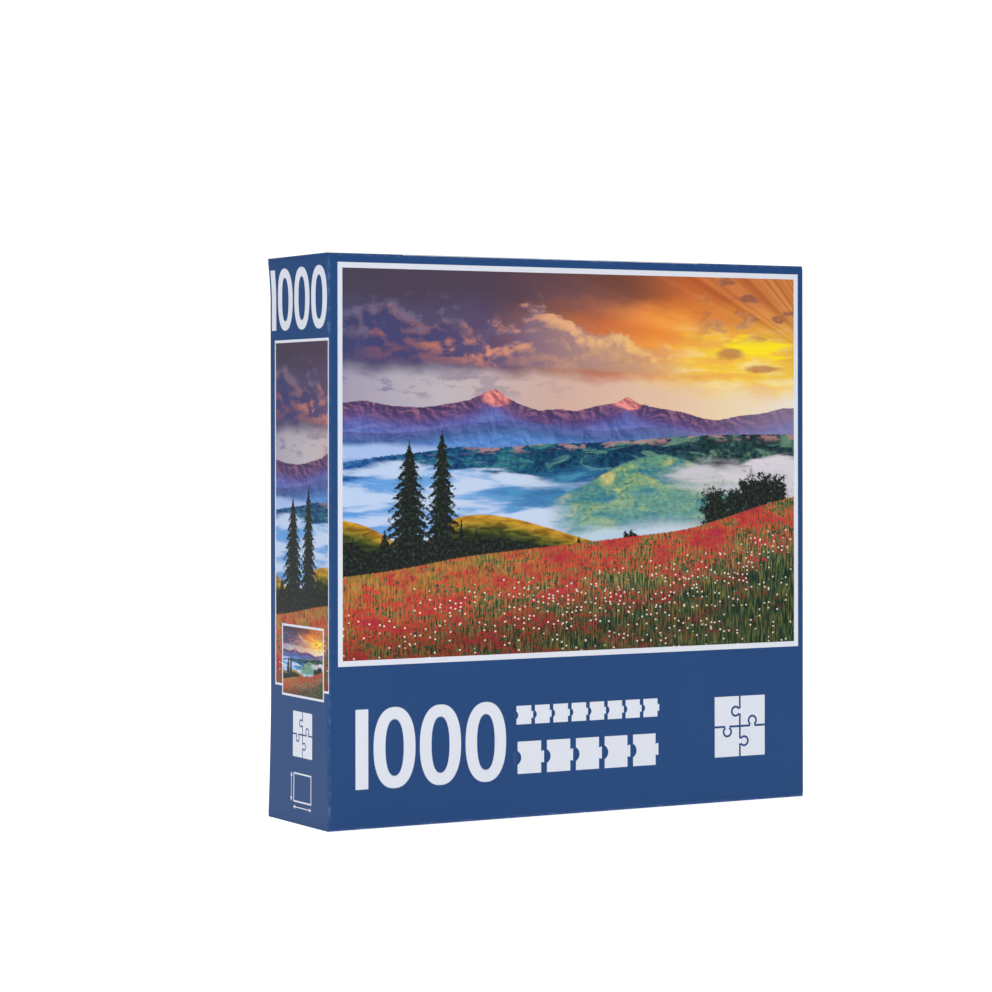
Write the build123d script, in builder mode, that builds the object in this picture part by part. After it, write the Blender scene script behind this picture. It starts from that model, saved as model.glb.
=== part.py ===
"""A boxed 1000-piece jigsaw puzzle, standing on its bottom edge.

The box is a full-depth telescoping set-up box. The lid and the tray are each a folded greyboard shell
whose corners are held by paper stays and which is covered by one sheet of paper, turned in over the
rim. Inside the tray, a heat-sealed film bag holds the loose die-cut pieces, slumped towards the
bottom wall as the box stands.

Millimetres, +Z up, the lid's printed panel faces -Y. The origin is the middle of the footprint.
"""

from build123d import *
import math
import os
import random

import numpy as np

# --- overall sizes of the closed box -------------------------------------------------------------
box_width = 250.0  # X
box_height = 250.0  # Z, as it stands
box_depth = 62.0  # Y

# --- sheet stocks --------------------------------------------------------------------------------
paper = 0.18  # printed art paper of both wraps, laminated
board = 1.6  # greyboard of both shells
stay_tape = 0.15  # gummed paper of the corner stays; the wrap bridges it along the walls
film = 0.2  # bag film, drawn thicker than its real 0.05
piece_board = 1.9  # die-cut puzzle board

# --- wraps and stays -----------------------------------------------------------------------------
turn_in = 16.0  # paper folded over the rim and down inside the wall
flap_margin = 1.5  # the side flap stops this far short of the corner that it covers
fold_radius = 1.1  # edges of the board's panel, as creased and folded
stay_leg = 22.0  # how far a stay reaches along each wall from its corner
stay_inset = 2.0  # bare board between a stay and the rim or the panel

# --- fits ----------------------------------------------------------------------------------------
tray_side_gap = 1.9  # tray to lid, each side; the walls of such a lid bow in about that far
tray_seat_gap = 0.3  # tray to the lid's bottom wall, which carries it
tray_top_gap = 1.3  # tray to the lid's top wall
rim_gap = 0.4  # tray rim to the lid's panel
tray_proud = 1.0  # the tray's floor stands this far out of the lid's rim
bag_gap = 0.3  # bag to the tray's floor and bottom wall
bag_side_gap = 1.0  # bag to the tray's side walls
bag_front_gap = 4.6  # bag to the lid's panel

# --- the jigsaw ----------------------------------------------------------------------------------
columns = 40
rows = 25
puzzle_ratio = 1.4  # length to breadth, as the picture
cut_seed = 7
heap_seed = 11

# --- the bag and its heap ------------------------------------------------------------------------
bag_edge = 4.0  # radius of the bag's soft edges
bag_headroom = 43.0  # from the top of the heap to the tray's top wall
bag_slope_height = 62.0  # the heap slopes back over this height; below, it fills the bag's whole depth
bag_top_depth = 20.0  # depth of the bag at the top of that slope
seal_height = 12.0  # heat-sealed header above the bag
heap_density = 0.345  # share of the heap's room that is board, the rest is air
heap_inset = 2.2  # loose pieces to the film
piece_gap = 0.2  # one piece to the next on top of it
heap_cell = 1.5  # grid on which the heap's height is kept
piece_room = heap_cell / math.sqrt(2) + 0.3  # clear strip round a piece where it lies


# --- how the layers stack up ---------------------------------------------------------------------
# Distances from the box's middle plane (X), its floor (Z) or its mid-depth (Y).
class Shell:
    """One half of the box: a board shell open on one side, with its wrap.

    x is the half width; z0 and z1 the bottom and top; panel and rim the Y of the closed and open ends.
    side_layers counts the papers on the left and right walls, where flaps cover corner tabs.
    """

    def __init__(self, x, z0, z1, panel, rim, side_layers):
        self.x, self.z0, self.z1 = x, z0, z1
        self.panel, self.rim = panel, rim
        self.inward = 1 if rim > panel else -1
        self.side_layers = side_layers
        self.side_skin = side_layers * paper + stay_tape
        self.end_skin = paper + stay_tape
        self.board_x = x - self.side_skin
        self.board_z0, self.board_z1 = z0 + self.end_skin, z1 - self.end_skin
        self.board_panel = panel + self.inward * paper
        self.board_rim = rim - self.inward * paper
        self.floor = self.board_panel + self.inward * board
        self.hollow_x = self.board_x - board
        self.hollow_z0, self.hollow_z1 = self.board_z0 + board, self.board_z1 - board
        self.inner_x = self.hollow_x - paper
        self.inner_z0, self.inner_z1 = self.hollow_z0 + paper, self.hollow_z1 - paper
        self.mid_z = (z0 + z1) / 2


lid = Shell(
    x=box_width / 2,
    z0=0,
    z1=box_height,
    panel=-box_depth / 2,
    rim=box_depth / 2 - tray_proud,
    side_layers=2,
)
tray = Shell(
    x=lid.inner_x - tray_side_gap,
    z0=lid.inner_z0 + tray_seat_gap,
    z1=lid.inner_z1 - tray_top_gap,
    panel=box_depth / 2,
    rim=lid.floor + rim_gap,
    side_layers=1,
)


def upright(y, towards):
    """A sketch plane at depth y whose normal points along Y, with local X across and local Y up."""
    return Plane(origin=(0, y, 0), x_dir=(-towards, 0, 0), z_dir=(0, towards, 0))


def rectangle(half_x, z0, z1):
    """A rectangle in the open sketch, from floor height z0 to z1."""
    with Locations((0, (z0 + z1) / 2)):
        Rectangle(2 * half_x, z1 - z0)


def panel_edges(solid, s):
    """The four outer edges of a shell's closed end."""
    return solid.faces().sort_by(Axis.Y)[0 if s.inward > 0 else -1].edges()


def write(part, name):
    part.label = name
    export_step(part, f"parts/{name}.step", write_pcurves=False)


# --- the two shells ------------------------------------------------------------------------------
def board_shell(s):
    """The folded greyboard: one panel and four walls."""
    with BuildPart() as shell:
        with BuildSketch(upright(s.board_panel, s.inward)):
            rectangle(s.board_x, s.board_z0, s.board_z1)
        extrude(amount=abs(s.board_rim - s.board_panel))
        fillet(panel_edges(shell, s), fold_radius)
        with BuildSketch(upright(s.floor, s.inward)):
            rectangle(s.hollow_x, s.hollow_z0, s.hollow_z1)
        extrude(amount=abs(s.board_rim - s.floor), mode=Mode.SUBTRACT)
    return shell.part


def wrap_shell(s):
    """The covering paper: over the panel and walls, round the rim, and turned in along the walls.

    On a shell with two side layers, the outer one is the side flap, which stops short of the top and
    bottom walls whose corner tabs it covers.
    """
    skin_x = s.x - (s.side_layers - 1) * paper
    length = abs(s.rim - s.panel)
    board_length = abs(s.board_rim - s.board_panel)
    with BuildPart() as wrap:
        with BuildSketch(upright(s.panel, s.inward)):
            rectangle(skin_x, s.z0, s.z1)
        extrude(amount=length)
        fillet(panel_edges(wrap, s), fold_radius + paper)
        if s.side_layers > 1:
            with BuildSketch(upright(s.panel, s.inward)):
                rectangle(s.x, s.z0 + flap_margin, s.z1 - flap_margin)
            flaps = extrude(amount=length, mode=Mode.PRIVATE)
            add(flaps.fillet(fold_radius + paper, panel_edges(flaps, s).filter_by(Axis.Z)))
        with BuildSketch(upright(s.board_panel, s.inward)):
            rectangle(skin_x - paper, s.z0 + paper, s.z1 - paper)
        room = extrude(amount=board_length, mode=Mode.PRIVATE)
        add(room.fillet(fold_radius, panel_edges(room, s)), mode=Mode.SUBTRACT)
        with BuildSketch(upright(s.rim, -s.inward)):
            rectangle(s.inner_x, s.inner_z0, s.inner_z1)
        extrude(amount=paper, mode=Mode.SUBTRACT)
        with BuildSketch(upright(s.rim, -s.inward)):
            rectangle(s.hollow_x, s.hollow_z0, s.hollow_z1)
            with Locations((0, s.mid_z)):
                Rectangle(2 * s.inner_x, s.inner_z1 - s.inner_z0, mode=Mode.SUBTRACT)
        extrude(amount=turn_in)
    return wrap.part


def corner_stay(s, side, top):
    """One gummed stay, folded round a corner of the board from outside."""
    corner_x = side * s.board_x
    corner_z = s.board_z1 if top else s.board_z0
    out_z = 1 if top else -1
    reach = abs(s.board_rim - s.board_panel) - 2 * stay_inset
    start = s.board_panel + s.inward * stay_inset
    flip = -s.inward
    with BuildPart() as stay:
        with BuildSketch(upright(start, s.inward)):
            with Locations((flip * (corner_x - side * (stay_leg - stay_tape) / 2), corner_z + out_z * stay_tape / 2)):
                Rectangle(stay_leg + stay_tape, stay_tape)
            with Locations((flip * (corner_x + side * stay_tape / 2), corner_z - out_z * (stay_leg - stay_tape) / 2)):
                Rectangle(stay_tape, stay_leg + stay_tape)
        extrude(amount=reach)
    return stay.part


# --- the bag -------------------------------------------------------------------------------------
bag_x = tray.inner_x - bag_side_gap
bag_z0 = tray.inner_z0 + bag_gap
bag_top = tray.inner_z1 - bag_headroom
bag_full = bag_top - bag_slope_height
bag_back = tray.floor - bag_gap
bag_front = lid.floor + bag_front_gap


def bag_side(inset):
    """Side view of the bag, as (y, z) points: full below, sloping back above, inset all round."""
    slope = math.atan2(bag_back - bag_front - bag_top_depth, bag_top - bag_full)
    knee = inset * math.tan(slope / 2)
    shoulder = inset * math.tan((math.pi / 2 - slope) / 2)
    return [
        (bag_back - inset, bag_z0 + inset),
        (bag_back - inset, bag_top - inset),
        (bag_back - bag_top_depth + shoulder, bag_top - inset),
        (bag_front + inset, bag_full - knee),
        (bag_front + inset, bag_z0 + inset),
    ]


def film_bag():
    """The sealed bag: a hollow pillow of film with its flat header seal standing at the back."""
    seal_y = bag_back - bag_top_depth / 2
    with BuildPart() as bag:
        with BuildSketch(Plane.YZ):
            with BuildLine():
                Polyline(*bag_side(0), close=True)
            make_face()
        extrude(amount=bag_x, both=True)
        fillet(bag.edges(), bag_edge)
        with BuildSketch(Plane.XY.offset(bag_top - film)):
            with Locations((0, seal_y)):
                Rectangle(2 * (bag_x - bag_edge), 2 * film)
        extrude(amount=seal_height + film)
        with BuildSketch(Plane.YZ):
            with BuildLine():
                Polyline(*bag_side(film), close=True)
            make_face()
        hollow = extrude(amount=bag_x - film, both=True, mode=Mode.PRIVATE)
        add(hollow.fillet(bag_edge - film, hollow.edges()), mode=Mode.SUBTRACT)
    return bag.part


# --- the die-cut pieces --------------------------------------------------------------------------
heap_x = bag_x - heap_inset
heap_low, heap_high = bag_z0 + heap_inset, bag_top - heap_inset
heap_depth = bag_back - bag_front - 2 * heap_inset
heap_slope = (bag_back - bag_front - bag_top_depth) / (bag_top - bag_full)
heap_area = heap_depth * (heap_high - heap_low) - heap_slope * (heap_high - bag_full + heap_inset) ** 2 / 2

# The jigsaw is the largest in whole centimetres whose pieces the bag takes.
puzzle_area = heap_density * heap_area * 2 * heap_x / piece_board
puzzle_breadth = 10 * math.floor(math.sqrt(puzzle_area / puzzle_ratio) / 10)
cell_length = puzzle_ratio * puzzle_breadth / columns
cell_breadth = puzzle_breadth / rows


class Cut:
    """One wavy cut between two neighbouring pieces, with its knob. sign says which side it goes."""

    def __init__(self, dice):
        self.sign = dice.choice((-1, 1))
        self.shift = dice.uniform(-0.07, 0.07)  # of the edge's length, off its middle
        self.reach = dice.uniform(4.3, 5.1)
        self.neck = dice.uniform(1.35, 1.65)  # half widths
        self.head = dice.uniform(2.45, 2.9)
        self.lean = dice.uniform(-0.5, 0.5)
        self.dip = dice.uniform(0.3, 0.9)

    def points(self, length):
        """Points of the cut from one cell corner to the next, along local X."""
        mid = length * (0.5 + self.shift)
        top = mid + self.lean
        up = self.sign * self.reach
        return [
            (0, 0),
            ((mid - self.neck) / 2, -self.sign * self.dip),
            (mid - self.neck, 0.22 * up),
            (top - self.head, 0.62 * up),
            (top, up),
            (top + self.head, 0.62 * up),
            (mid + self.neck, 0.22 * up),
            ((mid + self.neck + length) / 2, -self.sign * self.dip),
            (length, 0),
        ]


dice = random.Random(cut_seed)
level_cuts = {(c, r): Cut(dice) for c in range(columns) for r in range(1, rows)}
upright_cuts = {(c, r): Cut(dice) for c in range(1, columns) for r in range(rows)}


def piece_sides(column, row):
    """The four sides of a piece, anticlockwise from its bottom left corner, about its cell's middle."""
    left, low = -cell_length / 2, -cell_breadth / 2
    right, high = -left, -low

    def level(line, height):
        cut = level_cuts.get((column, line))
        points = cut.points(cell_length) if cut else [(0, 0), (cell_length, 0)]
        return [(left + along, height + out) for along, out in points]

    def standing(line, across):
        cut = upright_cuts.get((line, row))
        points = cut.points(cell_breadth) if cut else [(0, 0), (cell_breadth, 0)]
        return [(across - out, low + along) for along, out in points]

    return [
        level(row, low),
        standing(column + 1, right),
        level(row + 1, high)[::-1],
        standing(column, left)[::-1],
    ]


def puzzle_piece(column, row, plane):
    """One piece, with its printed face on the plane's positive side."""
    with BuildPart() as piece:
        with BuildSketch(plane):
            with BuildLine():
                for side in piece_sides(column, row):
                    if len(side) == 2:
                        Line(*side)
                    else:
                        way = (Vector(*side[-1]) - Vector(*side[0])).normalized()
                        Spline(*side, tangents=(way, way))
            make_face()
        extrude(amount=piece_board)
    return piece.part


# --- the heap ------------------------------------------------------------------------------------
def footprint(column, row, turn, face):
    """Cells of the heap's grid that a piece may reach into, as steps from its middle.

    turn is its angle as it lies; face is 1 with its print to the front and -1 with it to the back.
    """
    start = np.array([point for side in piece_sides(column, row) for point in side[:-1]])
    way = np.roll(start, -1, axis=0) - start
    reach = int((np.hypot(*start.T).max() + piece_room) / heap_cell) + 1
    steps = np.argwhere(np.ones((2 * reach + 1, 2 * reach + 1))) - reach
    dx, dz = heap_cell * steps[:, :1], heap_cell * steps[:, 1:]
    a = dx * math.cos(turn) + dz * math.sin(turn) - start[:, 0]
    b = face * (dz * math.cos(turn) - dx * math.sin(turn)) - start[:, 1]
    along = np.clip((a * way[:, 0] + b * way[:, 1]) / (way**2).sum(axis=1), 0, 1)
    near = np.hypot(a - along * way[:, 0], b - along * way[:, 1]).min(axis=1) < piece_room
    side = way[:, 0] * b - way[:, 1] * a
    winding = ((b >= 0) & (b < way[:, 1]) & (side > 0)).sum(axis=1)
    winding -= ((b < 0) & (b >= way[:, 1]) & (side < 0)).sum(axis=1)
    return steps[near | (winding != 0)]


def heap_planes():
    """Where each piece lies: {(column, row): plane}.

    The pieces drop one by one, flat, towards the bag's back, each where the heap is then least full
    for the bag's depth. The heap's height is kept on a grid, so that no two pieces overlap.
    """
    throw = random.Random(heap_seed)
    cells_x, cells_z = int(2 * heap_x / heap_cell), int((heap_high - heap_low) / heap_cell)
    height = np.zeros((cells_x, cells_z))
    order = [(column, row) for column in range(columns) for row in range(rows)]
    throw.shuffle(order)
    planes = {}
    for column, row in order:
        turn, face = throw.uniform(0, 2 * math.pi), throw.choice((-1, 1))
        cells = footprint(column, row, turn, face)
        (i0, k0), (i1, k1) = -cells.min(axis=0), cells.max(axis=0)
        base = np.zeros((cells_x - i0 - i1, cells_z - k0 - k1))
        for di, dk in cells:
            np.maximum(base, height[i0 + di : cells_x - i1 + di, k0 + dk : cells_z - k1 + dk], out=base)
        tops = heap_low + heap_cell * (np.arange(k0, cells_z - k1) + k1 + 1)
        room = heap_depth - heap_slope * np.clip(tops - bag_full + heap_inset, 0, None)
        fill = (base + piece_board) / room
        i, k = np.unravel_index(fill.argmin(), fill.shape)
        if fill[i, k] > 1:
            raise ValueError("the heap of pieces is deeper than the bag")
        height[tuple((cells + (i + i0, k + k0)).T)] = base[i, k] + piece_board + piece_gap
        x = -heap_x + heap_cell * (i + i0 + 0.5)
        y = bag_back - film - piece_gap - base[i, k] - (piece_board if face < 0 else 0)
        z = heap_low + heap_cell * (k + k0 + 0.5)
        across = (math.cos(turn), 0, math.sin(turn))
        planes[column, row] = Plane(origin=(x, y, z), x_dir=across, z_dir=(0, -face, 0))
    return planes


def in_group(name, cells):
    """Writes one node of loose pieces, each a solid of its own."""
    write(Compound(children=[puzzle_piece(column, row, heap[column, row]) for column, row in cells]), name)


# --- write every node ----------------------------------------------------------------------------
os.makedirs("parts", exist_ok=True)

for shell, half in ((lid, "lid"), (tray, "base")):
    write(board_shell(shell), f"{half}_board")
    write(wrap_shell(shell), f"{half}_wrap")
    for side, side_name in ((-1, "left"), (1, "right")):
        for top, level_name in ((False, "bottom"), (True, "top")):
            write(corner_stay(shell, side, top), f"{half}_stay_{level_name}_{side_name}")

write(film_bag(), "piece_bag")

heap = heap_planes()
last_column, last_row = columns - 1, rows - 1
in_group("jigsaw_corner_pieces", [(c, r) for c in (0, last_column) for r in (0, last_row)])
in_group("jigsaw_bottom_edge_pieces", [(c, 0) for c in range(1, last_column)])
in_group("jigsaw_top_edge_pieces", [(c, last_row) for c in range(1, last_column)])
in_group("jigsaw_left_edge_pieces", [(0, r) for r in range(1, last_row)])
in_group("jigsaw_right_edge_pieces", [(last_column, r) for r in range(1, last_row)])
for row in range(1, last_row):
    in_group(f"jigsaw_row_{row + 1:02d}", [(c, row) for c in range(1, last_column)])
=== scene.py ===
"""The boxed jigsaw puzzle as it looks: laminated print, greyboard, film bag and loose pieces.

The file is laid out as an add-on. Each group of pieces has its own operator, and main() runs them all.
Lengths are in metres and heights are measured from the surface that the box stands on.
"""

import math

import bmesh
import bpy
from bpy.props import FloatProperty, FloatVectorProperty, PointerProperty
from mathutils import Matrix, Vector, noise


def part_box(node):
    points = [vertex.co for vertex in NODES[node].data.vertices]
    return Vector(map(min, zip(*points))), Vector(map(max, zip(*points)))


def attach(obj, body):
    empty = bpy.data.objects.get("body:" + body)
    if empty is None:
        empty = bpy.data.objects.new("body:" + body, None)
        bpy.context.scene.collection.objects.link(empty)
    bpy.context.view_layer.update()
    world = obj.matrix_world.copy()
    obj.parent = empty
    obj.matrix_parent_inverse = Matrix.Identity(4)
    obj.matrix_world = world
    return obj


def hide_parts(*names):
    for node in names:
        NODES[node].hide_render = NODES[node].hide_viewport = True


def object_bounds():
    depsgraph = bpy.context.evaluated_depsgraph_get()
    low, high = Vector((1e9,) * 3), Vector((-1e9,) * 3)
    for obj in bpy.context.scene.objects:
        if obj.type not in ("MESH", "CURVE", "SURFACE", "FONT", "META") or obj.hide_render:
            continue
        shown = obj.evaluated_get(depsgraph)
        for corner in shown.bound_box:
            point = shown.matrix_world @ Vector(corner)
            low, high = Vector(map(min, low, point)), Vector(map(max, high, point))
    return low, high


bl_info = {
    "name": "Boxed jigsaw puzzle",
    "version": (1, 0, 0),
    "blender": (4, 5, 0),
    "location": "3D View > Sidebar > Puzzle box",
    "description": "Finishes the lid, tray, film bag and pieces of a boxed jigsaw puzzle",
    "category": "Object",
}

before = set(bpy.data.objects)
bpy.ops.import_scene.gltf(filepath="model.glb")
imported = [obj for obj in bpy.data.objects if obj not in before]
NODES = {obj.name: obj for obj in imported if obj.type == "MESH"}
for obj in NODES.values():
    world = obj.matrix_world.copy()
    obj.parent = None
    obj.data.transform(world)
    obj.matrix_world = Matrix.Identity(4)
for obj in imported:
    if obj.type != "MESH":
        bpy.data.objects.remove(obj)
CAD_BOX = [[float(v) for v in corner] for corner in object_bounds()]
LOW, HIGH = (Vector(corner) for corner in CAD_BOX)
LID_LOW, LID_HIGH = (Vector(corner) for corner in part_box("lid_wrap"))
MM = 0.001

# Places of the print in millimetres, as left, right, low and high. A wall is read with its rim upright.
PICTURE_WIDTH, PICTURE_HEIGHT = 238, 171
FRONT_PANEL = (4.6, 246.6, 71.0, 246.0)
FRONT_PICTURE = (6.9, 244.3, 73.4, 243.6)
WALL_PANEL = (4.8, 61.4, 59.6, 213.2)
WALL_PICTURE = (5.8, 60.4, 60.6, 212.0)
SMALL_PANEL = (12.4, 56.4, 55.6, 87.4)
SMALL_PICTURE = (13.4, 55.4, 56.6, 86.4)
WALL_FIGURES_SCALE = 0.777
PUZZLE_ROWS = 25
SEAL_HEIGHT = 12 * MM


def srgb(hex_code, alpha=1.0):
    """An sRGB hex colour as linear red, green, blue and alpha."""
    parts = [int(hex_code[i : i + 2], 16) / 255 for i in (1, 3, 5)]
    return [p / 12.92 if p <= 0.04045 else ((p + 0.055) / 1.055) ** 2.4 for p in parts] + [alpha]


class BoxSizes(bpy.types.PropertyGroup):
    """Sizes of the lid that the flat sheets of the frame do not have."""

    side_bow: FloatProperty(
        name="Side bow",
        description="How far the lid's side walls draw in at the rim, half-way up",
        default=1.5 * MM,
        unit="LENGTH",
    )
    end_bow: FloatProperty(
        name="End bow",
        description="How far the lid's top wall draws in at the rim",
        default=0.6 * MM,
        unit="LENGTH",
    )
    film_slack: FloatProperty(
        name="Film slack",
        description="How much larger than the heap the bag's film was cut",
        default=0.05,
        subtype="FACTOR",
    )


class BoxColours(bpy.types.PropertyGroup):
    """Colours of the printed sheet and the boards."""

    ground: FloatVectorProperty(
        name="Print ground",
        description="Navy ground of the printed sheet",
        default=srgb("#244777"),
        size=4,
        subtype="COLOR",
    )
    white: FloatVectorProperty(
        name="Unprinted paper",
        description="White of the paper where nothing is printed",
        default=srgb("#D5D8E0"),
        size=4,
        subtype="COLOR",
    )
    greyboard: FloatVectorProperty(
        name="Greyboard",
        description="Recycled board of the lid and tray",
        default=srgb("#B9B5AB"),
        size=4,
        subtype="COLOR",
    )
    piece_back: FloatVectorProperty(
        name="Piece back",
        description="Unprinted side of the jigsaw pieces",
        default=srgb("#8FA3B5"),
        size=4,
        subtype="COLOR",
    )


# --- materials -----------------------------------------------------------------------------------
MODE = {
    "Math": "operation", "VectorMath": "operation", "MapRange": "interpolation_type", "MixRGB": "blend_type"
}


def adder(tree):
    """A function that adds nodes to this tree."""

    def add(kind, *values, out=0, **settings):
        """Adds a node, such as "Math:ADD", and returns one of its outputs.

        values set or link its inputs in order; a dict among them does so by name.
        """
        kind, _, mode = kind.partition(":")
        node = tree.nodes.new("ShaderNode" + kind)
        if mode:
            settings[MODE[kind]] = mode
        stops, points, sharp = (settings.pop(key, None) for key in ("stops", "points", "sharp"))
        for name, value in settings.items():
            setattr(node, name, value)
        if stops:
            ramp = node.color_ramp.elements
            while len(ramp) < len(stops):
                ramp.new(0.5)
            for stop, (place, colour) in zip(ramp, stops):
                stop.position = place
                stop.color = srgb(colour) if isinstance(colour, str) else colour
        if points:
            curve = node.mapping.curves[0].points
            curve[0].location, curve[-1].location = points[0], points[-1]
            for place in points[1:-1]:
                curve.new(*place)
            for place in curve:
                place.handle_type = "VECTOR" if sharp else "AUTO"
            node.mapping.update()
        named = {}
        for place, value in enumerate(values):
            named.update(value if isinstance(value, dict) else {place: value})
        for key, value in named.items():
            if isinstance(value, bpy.types.NodeSocket):
                tree.links.new(value, node.inputs[key])
            else:
                node.inputs[key].default_value = value
        return node.outputs[out] if len(node.outputs) > out else None

    return add


def new_material(name):
    """An empty node material and its adder."""
    material = bpy.data.materials.new(name)
    material.use_nodes = True
    material.node_tree.nodes.clear()
    return material, adder(material.node_tree)


def finish_surface(add, colour, settings, normal=None):
    """Ends a material in a Principled surface."""
    links = {"Base Color": colour, **settings}
    if normal is not None:
        links["Normal"] = normal
    add("OutputMaterial", add("BsdfPrincipled", links))


def paint(piece, material):
    """Gives a piece this one material."""
    piece.data.materials.clear()
    piece.data.materials.append(material)


def inside(add, x, z, x0, x1, z0, z1, soft=0.15):
    """1 inside an upright rectangle."""
    across = add("Math:SUBTRACT", (x1 - x0) / 2, add("Math:ABSOLUTE", add("Math:SUBTRACT", x, (x0 + x1) / 2)))
    up = add("Math:SUBTRACT", (z1 - z0) / 2, add("Math:ABSOLUTE", add("Math:SUBTRACT", z, (z0 + z1) / 2)))
    return add(
        "MapRange:LINEAR", add("Math:MINIMUM", across, up), {"From Min": -soft / 2, "From Max": soft / 2}
    )


def over(add, below, above, cover):
    """One colour laid over another."""
    return add("MixRGB:MIX", cover, below, above)


def numerals_group():
    """1000 in heavy narrow figures: a bar and three oval rings, 75 mm wide and 35.4 mm high."""
    tree = bpy.data.node_groups.new("one_thousand", "ShaderNodeTree")
    tree.interface.new_socket("X", in_out="INPUT", socket_type="NodeSocketFloat")
    tree.interface.new_socket("Z", in_out="INPUT", socket_type="NodeSocketFloat")
    tree.interface.new_socket("Ink", in_out="OUTPUT", socket_type="NodeSocketFloat")
    add = adder(tree)
    x, z = (tree.nodes.new("NodeGroupInput").outputs[i] for i in (0, 1))
    ink = inside(add, x, z, 0, 6.2, 0.3, 35.0)
    for middle in (19.1, 41.9, 64.8):
        # Each ring is squarer than an ellipse: |x/a|^2.3 + |z/b|^2.3 = 1, inner counter narrower.
        dx = add("Math:ABSOLUTE", add("Math:SUBTRACT", x, middle))
        dz = add("Math:ABSOLUTE", add("Math:SUBTRACT", z, 17.7))
        rings = []
        for a, b in ((10.3, 17.7), (4.5, 12.4)):
            reach = add(
                "Math:POWER",
                add(
                    "Math:ADD",
                    add("Math:POWER", add("Math:DIVIDE", dx, a), 2.3),
                    add("Math:POWER", add("Math:DIVIDE", dz, b), 2.3),
                ),
                1 / 2.3,
            )
            rings.append(
                add(
                    "MapRange:LINEAR",
                    reach,
                    {"From Min": 1 - 0.1 / a, "From Max": 1 + 0.1 / a, "To Min": 1.0, "To Max": 0.0},
                )
            )
        ink = add("Math:MAXIMUM", ink, add("Math:SUBTRACT", rings[0], rings[1]))
    tree.links.new(ink, tree.nodes.new("NodeGroupOutput").inputs[0])
    return tree


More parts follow.
